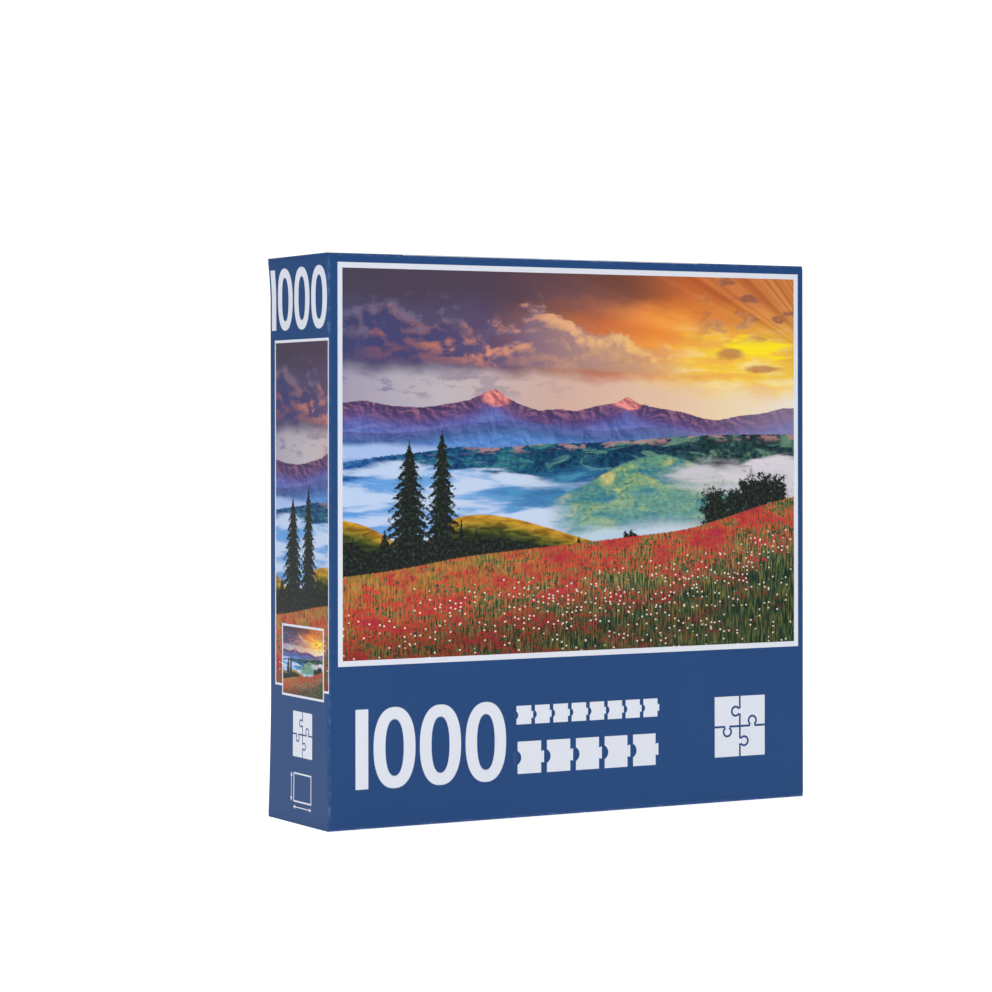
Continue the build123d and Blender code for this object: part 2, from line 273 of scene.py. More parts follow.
def landscape_group():
    """The picture: storm clouds at sunset over hills, mist and a flower meadow, 238 by 171 mm.

    X runs from 0 at its left edge and Z from 0 at its bottom edge, in millimetres of the large picture.
    """
    tree = bpy.data.node_groups.new("meadow_at_sunset", "ShaderNodeTree")
    tree.interface.new_socket("X", in_out="INPUT", socket_type="NodeSocketFloat")
    tree.interface.new_socket("Z", in_out="INPUT", socket_type="NodeSocketFloat")
    tree.interface.new_socket("Color", in_out="OUTPUT", socket_type="NodeSocketColor")
    add = adder(tree)
    entry = tree.nodes.new("NodeGroupInput")
    x, z = entry.outputs[0], entry.outputs[1]
    point = add("CombineXYZ", x, z, 0.0)
    side = add("Math:DIVIDE", x, PICTURE_WIDTH)

    def grain(size_x, size_z, detail=4.0, rough=0.55, seed=0.0, bend=0.0, at=None):
        """Cloudy noise about size_x by size_z millimetres, from 0 to 1."""
        scaled = add("VectorMath:MULTIPLY_ADD", at or point, (1 / size_x, 1 / size_z, 1.0), (seed, seed, 0.0))
        settings = {"Vector": scaled, "Scale": 1.0, "Detail": detail, "Roughness": rough, "Distortion": bend}
        return add("TexNoise", settings, noise_dimensions="2D")

    def spread(value, low, high, to_low=0.0, to_high=1.0):
        """Stretches a value between two limits to others, held at both ends."""
        limits = {"From Min": low, "From Max": high, "To Min": to_low, "To Max": to_high}
        return add("MapRange:SMOOTHSTEP", value, limits)

    def skyline(points, jag=0.0, jag_size=3.0, seed=0.0, sharp=False):
        """Height of a hill line above X, through these points, rounded or sharp, with jagged tops."""
        curve = [(at / PICTURE_WIDTH, height / PICTURE_HEIGHT) for at, height in points]
        line = add(
            "Math:MULTIPLY", add("FloatCurve", {"Value": side}, points=curve, sharp=sharp), PICTURE_HEIGHT
        )
        teeth = {
            "W": add("Math:MULTIPLY_ADD", x, 1 / jag_size, seed),
            "Scale": 1.0,
            "Detail": 6.0,
            "Roughness": 0.7,
        }
        teeth = add("TexNoise", teeth, noise_dimensions="1D")
        return add("Math:MULTIPLY_ADD", add("Math:SUBTRACT", teeth, 0.5), 2 * jag, line)

    def below(line, soft=0.4):
        """1 under a skyline."""
        limits = {"From Min": -soft / 2, "From Max": soft / 2}
        return add("MapRange:SMOOTHSTEP", add("Math:SUBTRACT", line, z), limits)

    def depth(line, reach):
        """0 at a skyline and 1 a given depth under it."""
        return spread(add("Math:SUBTRACT", line, z), 0.0, reach)

    def ramp(value, *stops):
        """Colour along a value, as (place, hex) stops."""
        return add("ValToRGB", value, stops=stops)

    def both(first, *others):
        """Product of covers."""
        for other in others:
            first = add("Math:MULTIPLY", first, other)
        return first

    def blot(at_x, at_z, half_x, half_z, ragged=None, amount=0.0, edge=0.25):
        """1 inside a soft-edged oval, made ragged by a noise."""
        dx = add("Math:MULTIPLY_ADD", x, 1 / half_x, -at_x / half_x)
        dz = add("Math:MULTIPLY_ADD", z, 1 / half_z, -at_z / half_z)
        out = add("Math:SQRT", add("Math:ADD", add("Math:MULTIPLY", dx, dx), add("Math:MULTIPLY", dz, dz)))
        if ragged is not None:
            out = add("Math:MULTIPLY_ADD", add("Math:SUBTRACT", ragged, 0.5), amount, out)
        return spread(out, 1.0 + edge / 2, 1.0 - edge / 2)

    # Upper sky: storm brown and violet to the left, rays of orange to the right.
    top = ramp(
        side,
        (0.0, "#463E50"),
        (0.3, "#4C3E4E"),
        (0.48, "#624347"),
        (0.62, "#81503F"),
        (0.75, "#C26C3A"),
        (1.0, "#C27B45"),
    )
    glow = ramp(
        side,
        (0.0, "#4B4A6A"),
        (0.3, "#574864"),
        (0.42, "#8F5F50"),
        (0.55, "#C56E42"),
        (0.68, "#E58A3C"),
        (0.85, "#DE9242"),
        (1.0, "#C8874C"),
    )
    haze = grain(40, 18, seed=2.0, detail=3.0)
    fall = add("Math:MULTIPLY_ADD", add("Math:SUBTRACT", haze, 0.5), 16.0, z)
    sky = over(add, glow, top, spread(fall, 147.0, 163.0))
    # The rays fan out from low on the right.
    slope = add("Math:DIVIDE", add("Math:SUBTRACT", z, 128.0), add("Math:SUBTRACT", 262.0, x))
    rays = add("TexNoise", {"W": slope, "Scale": 7.0, "Detail": 2.0, "Roughness": 0.5}, noise_dimensions="1D")
    sky = add(
        "MixRGB:SOFT_LIGHT",
        both(spread(side, 0.3, 0.6), 0.5),
        sky,
        ramp(rays, (0.36, "#383838"), (0.62, "#E4D8D0")),
    )
    # Lower sky: lavender at the left through peach to cream at the right.
    low = ramp(
        side,
        (0.0, "#9C93A6"),
        (0.2, "#B6AEB2"),
        (0.45, "#C9A598"),
        (0.7, "#DCB99C"),
        (0.85, "#E4CCA8"),
        (1.0, "#E3D6C6"),
    )
    sky = over(add, sky, low, spread(add("Math:MULTIPLY_ADD", side, 5.0, fall), 132.0, 122.0))
    # The sun behind cloud.
    sun = blot(210.0, 131.0, 50.0, 13.0, haze, 1.3, 1.1)
    sky = over(
        add,
        sky,
        ramp(grain(30, 6, seed=12.0), (0.34, "#E9AE4C"), (0.5, "#F0C63C"), (0.66, "#F3D98C")),
        both(sun, 0.9),
    )
    core = blot(216.0, 138.0, 17.0, 4.0, grain(20, 4, seed=15.0), 3.0, 0.9)
    sky = over(add, sky, srgb("#F7DC1C"), both(core, 0.9))

    # Cumulus, lit from the right: a place is lit where the cloud thins out up and to the right.
    puffs = grain(30, 19, detail=8.0, rough=0.55, seed=44.2, bend=0.2)
    ahead = grain(
        30, 19, detail=8.0, rough=0.55, seed=44.2, bend=0.2, at=add("VectorMath:ADD", point, (1.9, 2.8, 0.0))
    )
    lit = spread(add("Math:SUBTRACT", puffs, ahead), -0.05, 0.11)
    crest = add(
        "FloatCurve",
        {"Value": side},
        points=[
            (0.0, 0.94), (0.1, 0.90), (0.22, 0.86), (0.34, 0.86), (0.44, 0.89), (0.56, 0.84), (0.7, 0.79),
            (0.85, 0.72), (1.0, 0.66),
        ],
    )
    crest = add(
        "Math:MULTIPLY_ADD",
        add("Math:SUBTRACT", puffs, 0.5),
        42.0,
        add("Math:MULTIPLY", crest, PICTURE_HEIGHT),
    )
    base = add("Math:MULTIPLY_ADD", side, -9.0, add("Math:MULTIPLY_ADD", puffs, 5.0, 127.5))
    heap = both(
        spread(add("Math:SUBTRACT", crest, z), -1.0, 3.4), spread(add("Math:SUBTRACT", z, base), -1.2, 3.0)
    )
    fade = spread(side, 0.86, 0.58)
    shade = ramp(
        side,
        (0.0, "#3D406A"),
        (0.22, "#48436A"),
        (0.36, "#6E5A74"),
        (0.5, "#A37E78"),
        (0.68, "#C9986F"),
        (0.85, "#DCAE68"),
    )
    light = ramp(
        side,
        (0.0, "#5C5578"),
        (0.1, "#A0625A"),
        (0.3, "#D0876C"),
        (0.5, "#DDA77A"),
        (0.7, "#EFBE6E"),
        (0.85, "#F0CE78"),
    )
    top_lit = spread(add("Math:SUBTRACT", crest, z), 20.0, 2.0)
    cloud = over(add, shade, light, both(lit, spread(top_lit, 0.0, 0.7, 0.35, 1.0)))
    sky = over(add, sky, cloud, both(heap, fade))
    # Higher grey heads at the far left, and brown scraps near the sun.
    heads = both(
        spread(add("Math:ADD", puffs, both(lit, 0.12)), 0.50, 0.60),
        spread(side, 0.34, 0.2),
        spread(z, 138.0, 143.0),
        spread(z, 163.0, 152.0),
    )
    sky = over(add, sky, ramp(lit, (0.0, "#46425C"), (1.0, "#67607C")), both(heads, 0.8))
    scraps = both(
        spread(grain(24, 9, seed=33.0, detail=6.0), 0.50, 0.60),
        spread(side, 0.74, 0.84),
        spread(z, 138.0, 146.0),
    )
    sky = over(add, sky, ramp(lit, (0.0, "#8A5446"), (1.0, "#C08A62")), both(scraps, 0.85))
    scrap = add(
        "Math:MAXIMUM",
        blot(200.0, 135.5, 7.0, 3.2, puffs, 3.0, 0.8),
        blot(222.0, 128.0, 9.0, 1.6, puffs, 3.0, 0.8),
    )
    sky = over(add, sky, srgb("#B07048"), both(scrap, 0.8))
    wisps = both(
        spread(grain(16, 6, seed=37.0, detail=6.0), 0.5, 0.62),
        spread(side, 0.62, 0.2),
        spread(z, 112.0, 117.0),
        spread(z, 128.0, 123.0),
    )
    sky = over(add, sky, ramp(side, (0.0, "#6F6C92"), (0.4, "#A08A90"), (1.0, "#D8B090")), both(wisps, 0.75))

    # Far ridge with two sunlit peaks, fading to blue below.
    far = skyline(
        (
            (0, 112), (10, 113), (24, 110.6), (40, 110), (52, 111.6), (63, 113.4), (70, 116.4), (76, 118.2),
            (81, 115), (88, 111.6), (98, 108.6), (108, 109.4), (118, 108.4), (130, 111), (138, 112),
            (145, 114.8), (151, 112), (160, 110), (176, 107.8), (186, 105), (195, 104.2), (206, 106.2),
            (220, 107.4), (230, 109.6), (238, 110.0),
        ),
        jag=0.5,
        jag_size=5.0,
        seed=5.3,
        sharp=True,
    )
    gullies = grain(13, 9, detail=6.0, rough=0.62, seed=41.0, bend=0.3)
    gully_ahead = grain(
        13, 9, detail=6.0, rough=0.62, seed=41.0, bend=0.3, at=add("VectorMath:ADD", point, (1.1, 0.9, 0.0))
    )
    slopes = spread(add("Math:SUBTRACT", gullies, gully_ahead), -0.16, 0.16)
    ridge = ramp(depth(far, 14.0), (0.0, "#5E4A72"), (0.35, "#67568A"), (0.65, "#6468A8"), (1.0, "#6C80BE"))
    ridge = add("MixRGB:SOFT_LIGHT", 0.6, ridge, ramp(slopes, (0.1, "#3A3A48"), (0.9, "#C8ACA4")))
    sunny = both(spread(add("Math:SUBTRACT", far, z), 8.0, 1.0), spread(slopes, 0.45, 0.9))
    ridge = over(add, ridge, srgb("#A86C80"), both(sunny, 0.5))
    peaks = add(
        "Math:MAXIMUM",
        blot(76.5, 114.8, 9.0, 3.6, gullies, 2.5, 0.5),
        blot(146.0, 111.8, 8.0, 2.8, gullies, 2.5, 0.5),
    )
    ridge = over(add, ridge, ramp(slopes, (0.1, "#A85A62"), (0.8, "#EE9284")), both(peaks, 0.9))
    ridge = over(add, ridge, srgb("#9C8EA6"), both(spread(side, 0.72, 1.0), 0.4))
    picture = over(add, sky, ridge, below(far))
    # Blue hills in haze.
    blue = skyline(
        (
            (0, 99.5), (30, 99), (52, 101.5), (84, 104), (108, 101.5), (130, 99.5), (160, 101), (190, 98),
            (238, 99),
        ),
        jag=0.35,
        jag_size=5.0,
        seed=14.2,
    )
    tint = ramp(depth(blue, 9.0), (0.0, "#56619C"), (0.4, "#48689E"), (1.0, "#5C8CC8"))
    tint = add("MixRGB:SOFT_LIGHT", 0.5, tint, ramp(slopes, (0.1, "#404048"), (0.9, "#C8C0B8")))
    tint = over(add, tint, srgb("#8A82A0"), both(spread(side, 0.55, 0.95), 0.65))
    picture = over(add, picture, tint, both(below(blue, 0.9), 0.94))
    strip = blot(8.0, 90.5, 44.0, 3.4, haze, 1.5, 1.0)
    picture = over(add, picture, srgb("#A9BEE2"), both(strip, 0.85))

    # Wooded hills, darker to the right, with fields between the trees.
    woods = skyline(
        (
            (0, 86), (18, 88.5), (40, 90.5), (58, 92.5), (72, 92), (86, 92.6), (100, 93.6), (126, 94.0),
            (150, 95.2), (176, 96.8), (204, 97.5), (238, 97.2),
        ),
        jag=0.9,
        jag_size=2.2,
        seed=27.7,
    )
    trees = grain(2.6, 1.7, detail=6.0, rough=0.72, seed=52.0)
    groves = grain(15, 5.5, detail=5.0, rough=0.6, seed=57.0, bend=0.6)
    wood = ramp(
        side,
        (0.0, "#4C84C4"),
        (0.14, "#356FA2"),
        (0.4, "#2E6A92"),
        (0.62, "#2A5E84"),
        (0.8, "#3F5C66"),
        (1.0, "#48606C"),
    )
    wood = add(
        "MixRGB:SOFT_LIGHT", 0.8, wood, ramp(groves, (0.36, "#202830"), (0.5, "#687878"), (0.64, "#C6D49C"))
    )
    wood = add("MixRGB:SOFT_LIGHT", 0.7, wood, ramp(trees, (0.38, "#141C20"), (0.62, "#C0D0B0")))
    meads = both(spread(groves, 0.54, 0.62), spread(side, 0.35, 0.5))
    wood = over(add, wood, srgb("#6C9078"), both(meads, 0.55))
    glints = both(
        spread(depth(woods, 5.0), 0.9, 0.1),
        spread(grain(12, 3, seed=60.0), 0.5, 0.58),
        spread(side, 0.2, 0.3),
    )
    wood = over(add, wood, srgb("#C08A88"), both(glints, 0.6))
    picture = over(add, picture, wood, below(woods))

    # Mist fills the valley in long flat drifts.
    mist = grain(46, 7.0, detail=5.0, rough=0.55, seed=70.6, bend=0.2)
    drifts = ramp(
        side,
        (0.0, "#5C94D0"),
        (0.22, "#6C9ED2"),
        (0.42, "#5E94C8"),
        (0.62, "#5A90B8"),
        (0.8, "#9CB0BC"),
        (1.0, "#BFB9C0"),
    )
    drifts = over(
        add,
        drifts,
        ramp(side, (0.0, "#B4C6E2"), (0.5, "#C0CCE0"), (0.9, "#CFC8CE")),
        spread(mist, 0.40, 0.58),
    )
    shore = add(
        "FloatCurve",
        {"Value": side},
        points=[
            (0.0, 0.475), (0.1, 0.49), (0.24, 0.50), (0.36, 0.465), (0.5, 0.44), (0.62, 0.46), (0.78, 0.47),
            (1.0, 0.49),
        ],
    )
    shore = add(
        "Math:MULTIPLY_ADD",
        add("Math:SUBTRACT", mist, 0.5),
        26.0,
        add("Math:MULTIPLY", shore, PICTURE_HEIGHT),
    )
    picture = over(add, picture, drifts, spread(add("Math:SUBTRACT", shore, z), -1.8, 3.2))
    deep = both(blot(118.0, 73.0, 34.0, 9.0, mist, 2.6, 0.9), 0.75)
    picture = over(
        add,
        picture,
        add("MixRGB:SOFT_LIGHT", 0.6, srgb("#3D7FAE"), ramp(groves, (0.36, "#304048"), (0.64, "#B8C8B8"))),
        deep,
    )

    # Soft green hills to the right, half in the mist.
    for points, soft, seed, first, second, third, end in (
        (
            ((0, 58), (96, 66), (124, 76), (146, 85.5), (166, 88), (184, 83.5), (206, 75), (238, 64)),
            1.4,
            84.0,
            "#3F7C8C",
            "#6F9A78",
            "#C2B878",
            216.0,
        ),
        (
            ((0, 40), (104, 50), (124, 61), (146, 71), (168, 75.5), (190, 73), (214, 69), (238, 66)),
            1.6,
            88.0,
            "#47858F",
            "#6B9888",
            "#8EA884",
            232.0,
        ),
    ):
        hill = skyline(points, jag=0.4, seed=seed)
        field = ramp(
            grain(20, 7, detail=5.0, seed=seed, bend=0.7), (0.36, first), (0.52, second), (0.66, third)
        )
        field = add("MixRGB:SOFT_LIGHT", 0.45, field, ramp(trees, (0.38, "#203030"), (0.6, "#C8D0C0")))
        dots = both(spread(trees, 0.42, 0.36), spread(groves, 0.5, 0.56))
        field = over(add, field, srgb("#3C6064"), both(dots, 0.7))
        edges = both(
            spread(x, 98.0, 124.0),
            spread(x, end, end - 26.0),
            spread(add("Math:SUBTRACT", hill, z), 26.0, 12.0),
        )
        picture = over(add, picture, field, both(below(hill, soft), edges, 0.95))
    bank = blot(226.0, 77.0, 48.0, 7.0, mist, 2.4, 0.9)
    picture = over(add, picture, srgb("#C9C2C8"), both(bank, 0.9))
    hem = blot(150.0, 50.0, 40.0, 6.5, mist, 1.8, 0.9)
    picture = over(add, picture, srgb("#B9CADB"), both(hem, 0.85))

    # A sunlit knoll, left of the middle, with another at the left edge.
    for points, seed in (
        (((0, 61), (12, 58), (26, 51), (60, 40), (238, 20)), 92.0),
        (
            (
                (0, 40), (40, 50), (54, 60.5), (66, 62.4), (82, 61), (100, 56.8), (118, 51.8), (134, 47.5),
                (238, 20),
            ),
            95.0,
        ),
    ):
        knoll = skyline(points, jag=0.3, seed=seed)
        grass = ramp(
            depth(knoll, 12.0),
            (0.0, "#B48A34"),
            (0.25, "#8E7C34"),
            (0.5, "#565E30"),
            (0.8, "#33402C"),
            (1.0, "#2A3428"),
        )
        grass = add(
            "MixRGB:SOFT_LIGHT",
            0.75,
            grass,
            ramp(grain(9, 2.4, seed=seed, detail=5.0, bend=0.4), (0.35, "#202018"), (0.65, "#F0DCA0")),
        )
        picture = over(add, picture, grass, both(below(knoll, 0.6), spread(x, 142.0, 134.0)))

    # Firs: a narrow cone whose edge breaks into drooping boughs.
    leaf = grain(2.4, 1.2, detail=6.0, rough=0.8, seed=110.0)
    needles = ramp(
        grain(1.6, 1.6, seed=120.0, detail=5.0, rough=0.7),
        (0.38, "#131817"),
        (0.56, "#212823"),
        (0.7, "#3A463A"),
    )
    cover = None
    for trunk, tip, foot, reach in (
        (32.5, 93.5, 36.0, 16.5), (48.8, 98.5, 38.0, 12.0), (58.5, 59.0, 38.0, 5.0), (20.5, 55.0, 36.0, 9.0),
        (66.0, 55.0, 38.0, 5.0), (5.0, 52.0, 34.0, 13.0),
    ):
        drop = add("Math:MAXIMUM", add("Math:SUBTRACT", tip, z), 0.0)
        off = add("Math:ABSOLUTE", add("Math:SUBTRACT", x, trunk))
        half = add("Math:MULTIPLY", add("Math:POWER", add("Math:DIVIDE", drop, tip - foot), 0.66), reach)
        # Boughs droop outwards from the trunk, about 4 mm apart.
        tier = add(
            "Math:SINE",
            add(
                "Math:MULTIPLY",
                add("Math:MULTIPLY_ADD", leaf, 2.6, add("Math:MULTIPLY_ADD", off, 0.55, z)),
                1.6,
            ),
        )
        edge = add("Math:MULTIPLY_ADD", leaf, 1.9, add("Math:MULTIPLY_ADD", tier, 0.17, -0.22))
        limb = add("Math:SUBTRACT", add("Math:MULTIPLY", half, edge), off)
        shape = both(
            add("MapRange:LINEAR", limb, {"From Min": -0.15, "From Max": 0.25}), add("Math:LESS_THAN", z, tip)
        )
        stem = both(add("Math:LESS_THAN", off, 0.28), add("Math:LESS_THAN", z, tip + 1.5))
        shape = add("Math:MAXIMUM", shape, stem)
        cover = shape if cover is None else add("Math:MAXIMUM", cover, shape)
    # A hedge joins their feet and thins out to the right.
    hedge = skyline(
        ((0, 49), (14, 47), (30, 50), (60, 50.5), (76, 52), (92, 49.5), (110, 46), (124, 40), (238, 20)),
        jag=3.2,
        jag_size=4.0,
        seed=130.0,
    )
    cover = add("Math:MAXIMUM", cover, both(below(hedge, 0.7), spread(x, 132.0, 118.0)))
    # Broad trees on the right.
    crown_leaf = grain(4.0, 4.0, detail=6.0, rough=0.85, seed=113.0)
    for middle, crown, wide, tall in (
        (193.2, 63.0, 7.6, 10.0), (204.0, 64.0, 7.0, 8.0), (212.0, 68.0, 8.0, 10.0), (220.0, 70.0, 7.0, 9.0),
        (228.0, 69.5, 6.0, 8.5), (147.5, 50.5, 2.6, 3.6), (144.0, 50.0, 1.6, 3.4), (119.0, 48.0, 1.4, 2.6),
    ):
        cover = add("Math:MAXIMUM", cover, blot(middle, crown, wide, tall, crown_leaf, 3.4, 0.12))
    picture = over(add, picture, needles, cover)

    # The meadow, rising to the right: red and orange flowers over green stalks.
    meadow = skyline(
        (
            (0, 36.5), (30, 39.5), (57, 43.5), (90, 46.5), (115, 48.5), (150, 51.5), (176, 54), (194, 57.8),
            (216, 63.5), (238, 68.5),
        ),
        jag=0.8,
        jag_size=1.4,
        seed=150.0,
    )
    stalks = grain(0.8, 7.0, detail=4.0, rough=0.65, seed=160.0)
    patches = grain(20, 9, detail=6.0, rough=0.68, seed=165.0)
    petals = grain(1.1, 1.9, detail=4.0, rough=0.8, seed=170.0)
    near_us = depth(meadow, 44.0)
    turf = ramp(stalks, (0.34, "#172A22"), (0.45, "#264534"), (0.55, "#4E683C"), (0.68, "#A08E50"))
    mixed = add("Math:MULTIPLY_ADD", patches, 0.75, add("Math:MULTIPLY", petals, 0.25))
    blooms = ramp(mixed, (0.34, "#C88238"), (0.44, "#CE6438"), (0.52, "#D04432"), (0.64, "#B43440"))
    blooms = add("MixRGB:MULTIPLY", 0.6, blooms, ramp(petals, (0.38, "#6A5040"), (0.56, "#FFFFFF")))
    thick = add("Math:MULTIPLY_ADD", petals, 0.75, add("Math:MULTIPLY", patches, 0.5))
    thick = add(
        "Math:SUBTRACT", thick, add("Math:MULTIPLY", near_us, add("Math:MULTIPLY_ADD", side, 0.19, -0.01))
    )
    grassy = over(add, turf, blooms, spread(thick, 0.53, 0.67))
    gold = both(
        spread(near_us, 0.34, 0.02), spread(side, 0.62, 0.15), spread(grain(9, 5, seed=168.0), 0.40, 0.58)
    )
    grassy = over(add, grassy, ramp(stalks, (0.4, "#77702E"), (0.6, "#C08A40")), both(gold, 0.6))
    grassy = add("MixRGB:MULTIPLY", both(spread(near_us, 0.35, 1.0), 0.6), grassy, srgb("#7C8084"))
    # Daisies: small discs scattered over it, thickest in a belt right of the middle.
    scatter = add("VectorMath:MULTIPLY", point, (1 / 2.5, 1 / 2.1, 1.0))
    daisies = add("TexVoronoi", {"Vector": scatter, "Scale": 1.0}, voronoi_dimensions="2D", out=0)
    which = add(
        "SeparateColor", add("TexVoronoi", {"Vector": scatter, "Scale": 1.0}, voronoi_dimensions="2D", out=1)
    )
    belt = both(spread(near_us, 0.1, 0.42), spread(near_us, 1.25, 0.75), spread(side, 0.0, 0.5, 0.35, 1.0))
    chosen = add("Math:LESS_THAN", which, both(spread(patches, 0.32, 0.6), belt, 0.6))
    disc = ramp(daisies, (0.0, "#B8A070"), (0.09, "#E2DCCB"), (1.0, "#E2DCCB"))
    grassy = over(add, grassy, disc, both(spread(daisies, 0.22, 0.15), chosen))
    picture = over(add, picture, grassy, below(meadow, 0.7))
    tree.links.new(picture, tree.nodes.new("NodeGroupOutput").inputs[0])
    return tree


def laminated_ground(add, colours, place):
    """Navy ink under matt laminate: its colour, its slow unevenness and its relief."""
    # Ink lies a little unevenly: it is mottled at a tenth of a millimetre, drawn at half to show.
    mottle = add("TexNoise", {"Vector": place, "Scale": 2000.0, "Detail": 3.0})
    shade = add("ValToRGB", mottle, stops=((0.3, "#B0B0B0"), (0.7, "#FFFFFF")))
    ground = add("MixRGB:MULTIPLY", 0.10, tuple(colours.ground), shade)
    cloudy = add("TexNoise", {"Vector": place, "Scale": 14.0, "Detail": 2.0})
    shade = add("ValToRGB", cloudy, stops=((0.35, "#C8CCD8"), (0.65, "#FFFFFF")))
    ground = add("MixRGB:MULTIPLY", 0.16, ground, shade)
    # The laminate ripples over about a centimetre, on paper with a fine tooth.
    ripple = add("TexNoise", {"Vector": place, "Scale": 90.0, "Detail": 2.0})
    tooth = add("TexNoise", {"Vector": place, "Scale": 1400.0, "Detail": 2.0})
    relief = add("Math:ADD", add("Math:MULTIPLY", ripple, 0.7), add("Math:MULTIPLY", tooth, 0.05))
    return ground, cloudy, add("Bump", {"Height": relief, "Strength": 0.25, "Distance": 0.00012})


def laminated_print(colours):
    """Art paper printed in four colours and matt-laminated: an even, soft sheen over flat ink, with a
    faint ripple where the paper is glued to the board."""
    material, add = new_material("laminated_litho_paper")
    place = add("TexCoord", out=3)
    x, y, z = (add("SeparateXYZ", add("VectorMath:SCALE", place, {"Scale": 1000.0}), out=i) for i in range(3))
    facing = add("TexCoord", out=1)
    nx, ny, nz = (add("SeparateXYZ", facing, out=i) for i in range(3))
    across = add("Math:SUBTRACT", x, 1000 * LID_LOW.x)
    back = add("Math:SUBTRACT", y, 1000 * LID_LOW.y)
    from_right = add("Math:SUBTRACT", 1000 * LID_HIGH.x, x)

    # Which wall this is: only outer faces carry the artwork, and the turned-in margin is plain ground.
    front = add("Math:LESS_THAN", ny, -0.7)
    left = add("Math:MULTIPLY", add("Math:LESS_THAN", nx, -0.7), add("Math:LESS_THAN", x, 0.0))
    right = add("Math:MULTIPLY", add("Math:GREATER_THAN", nx, 0.7), add("Math:GREATER_THAN", x, 0.0))
    top = add("Math:MULTIPLY", add("Math:GREATER_THAN", nz, 0.7), add("Math:GREATER_THAN", z, 125.0))
    bottom = add("Math:MULTIPLY", add("Math:LESS_THAN", nz, -0.7), add("Math:LESS_THAN", z, 125.0))
    wall = add("Math:ADD", add("Math:ADD", left, right), add("Math:ADD", top, bottom))

    # On a wall, u reads from left to right over its depth and v up its length.
    depth = 1000 * (LID_HIGH.y - LID_LOW.y)
    from_rim = add("Math:SUBTRACT", depth, back)
    u = add(
        "Math:ADD",
        add("Math:MULTIPLY", from_rim, add("Math:ADD", left, top)),
        add("Math:MULTIPLY", back, add("Math:ADD", right, bottom)),
    )
    v = add(
        "Math:ADD",
        add("Math:MULTIPLY", z, add("Math:ADD", left, right)),
        add("Math:ADD", add("Math:MULTIPLY", from_right, top), add("Math:MULTIPLY", from_right, bottom)),
    )

    big_panel = inside(add, across, z, *FRONT_PANEL)
    big_picture = inside(add, across, z, *FRONT_PICTURE)
    wall_panel = inside(add, u, v, *WALL_PANEL)
    wall_picture = inside(add, u, v, *WALL_PICTURE)
    small_panel = inside(add, u, v, *SMALL_PANEL)
    small_picture = inside(add, u, v, *SMALL_PICTURE)

    # The one picture is looked up at the place that this panel shows of it.
    on_small = add("Math:MULTIPLY", wall, small_panel)
    left_end, right_end, low_end, high_end = SMALL_PICTURE
    wide, tall = PICTURE_WIDTH / (right_end - left_end), PICTURE_HEIGHT / (high_end - low_end)
    small_x = add("Math:MULTIPLY_ADD", u, wide, -left_end * wide)
    small_z = add("Math:MULTIPLY_ADD", v, tall, -low_end * tall)
    wall_x, wall_z = add("Math:MULTIPLY_ADD", u, 1.0, 8.0), add("Math:MULTIPLY_ADD", v, 1 / 0.93, -60.0)
    front_x, front_z = add("Math:SUBTRACT", across, 7.0), add("Math:SUBTRACT", z, 73.2)

    def choose(on_front, on_wall, on_thumb=None):
        """The value for the face that this place is on."""
        if on_thumb is not None:
            plain = add("Math:MULTIPLY", on_wall, add("Math:SUBTRACT", 1.0, on_small))
            on_wall = add("Math:ADD", plain, add("Math:MULTIPLY", on_thumb, on_small))
        return add("Math:ADD", add("Math:MULTIPLY", on_front, front), add("Math:MULTIPLY", on_wall, wall))

    picture = add(
        "Group",
        {"X": choose(front_x, wall_x, small_x), "Z": choose(front_z, wall_z, small_z)},
        node_tree=landscape_group(),
    )
    scale = 1 / WALL_FIGURES_SCALE
    figures_x = choose(add("Math:SUBTRACT", across, 13.0), add("Math:MULTIPLY_ADD", u, scale, -2.0))
    figures_z = choose(add("Math:SUBTRACT", z, 17.1), add("Math:MULTIPLY_ADD", v, scale, -217.4 * scale))
    figures = add("Group", {"X": figures_x, "Z": figures_z}, node_tree=numerals_group())
    ink = add("Math:MULTIPLY", figures, add("Math:ADD", front, wall))
    ink = add("Math:MAXIMUM", ink, add("Math:MULTIPLY", front, front_marks(add, across, z)))
    ink = add("Math:MAXIMUM", ink, add("Math:MULTIPLY", wall, wall_marks(add, u, v)))

    ground, cloudy, normal = laminated_ground(add, colours, place)
    white = tuple(colours.white)
    colour = over(add, ground, white, ink)
    for panel, shown, face in (
        (big_panel, big_picture, front),
        (wall_panel, wall_picture, wall),
        (small_panel, small_picture, wall),
    ):
        colour = over(add, colour, white, add("Math:MULTIPLY", panel, face))
        colour = over(add, colour, picture, add("Math:MULTIPLY", shown, face))

    # Along the folded edges the print is painted paler: partly wear where folding stretches it, partly a
    # painted highlight for the soft sheen along those edges.
    edge_gap = add(
        "Math:MINIMUM",
        add("Math:MINIMUM", across, from_right),
        add("Math:MINIMUM", z, add("Math:SUBTRACT", 1000 * LID_HIGH.z, z)),
    )
    edge_gap = add("Math:ADD", edge_gap, back)
    scuff = add("TexNoise", {"Vector": place, "Scale": 260.0, "Detail": 6.0, "Roughness": 0.7})
    wear_and_edge_sheen = add(
        "Math:MULTIPLY",
        add("MapRange:SMOOTHSTEP", edge_gap, {"From Min": 1.7, "From Max": 0.4}),
        add("MapRange:SMOOTHSTEP", scuff, {"From Min": 0.42, "From Max": 0.72}),
    )
    # Paler edge colour: wear and a painted highlight of the edge sheen.
    colour = over(add, colour, srgb("#8FA2C4"), add("Math:MULTIPLY", wear_and_edge_sheen, 0.28))

    rough = add("MapRange:LINEAR", cloudy, {"From Min": 0.3, "From Max": 0.7, "To Min": 0.40, "To Max": 0.48})
    finish_surface(add, colour, {"Roughness": rough, "IOR": 1.46, "Specular IOR Level": 0.12}, normal)
    return material


